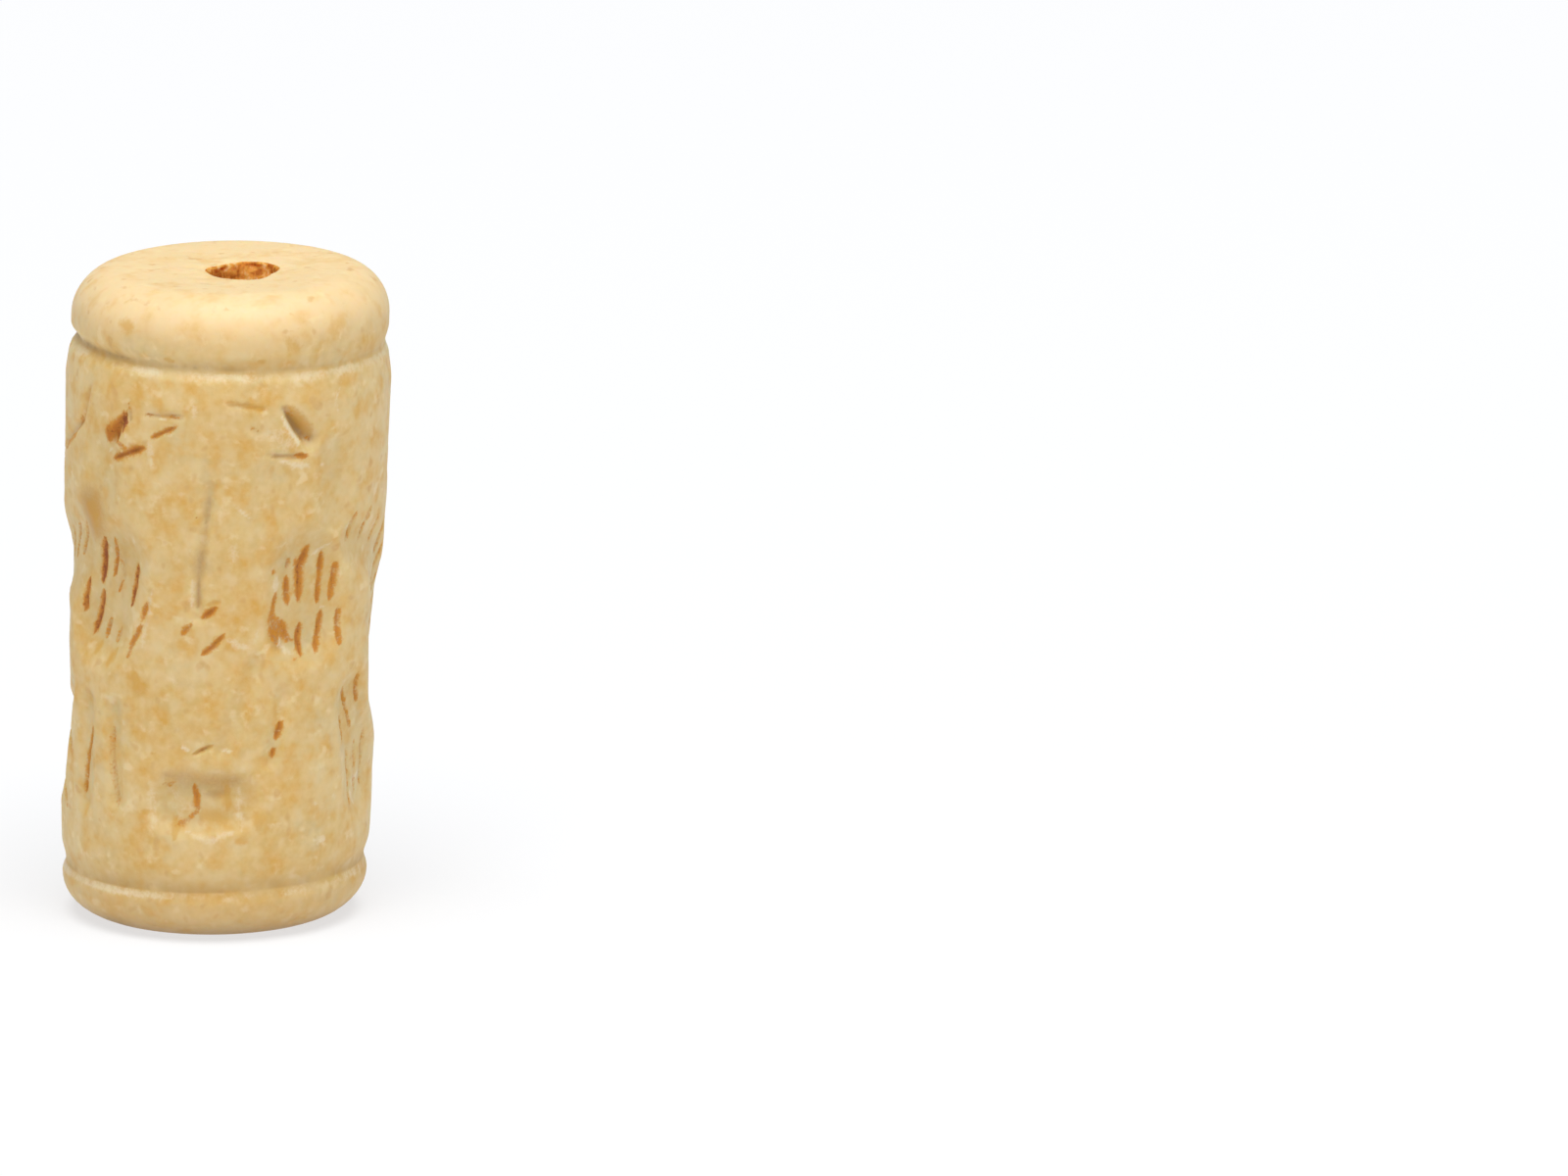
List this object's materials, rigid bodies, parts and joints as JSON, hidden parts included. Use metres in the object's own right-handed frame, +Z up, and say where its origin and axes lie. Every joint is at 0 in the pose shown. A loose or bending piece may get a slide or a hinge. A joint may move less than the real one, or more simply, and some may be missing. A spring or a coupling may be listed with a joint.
{
  "type": "cylinder seal",
  "caption": "Carved stone cylinder seal with a bore along its length, turned grooves near both ends and an engraved band of birds; it rolls a picture into soft clay.",
  "frame": {"origin": "on the surface the seal stands on, at the middle of its lower bounding rectangle; the centre line leans, so the lower end's own centre is 0.55 mm to -X of it", "axes": "+Z up the seal's length, towards its upper end; the front, with the spear between two standing birds, faces -Y"},
  "size_m": [0.0162, 0.0158, 0.032],
  "materials": {
    "cream_stone": "worn, softly polished cream stone with ochre mottling, and orange-brown deposits in the cuts and the bore"
  },
  "bodies": {
    "root": {"cylinder_seal": "cream_stone"}
  },
  "joints": []
}
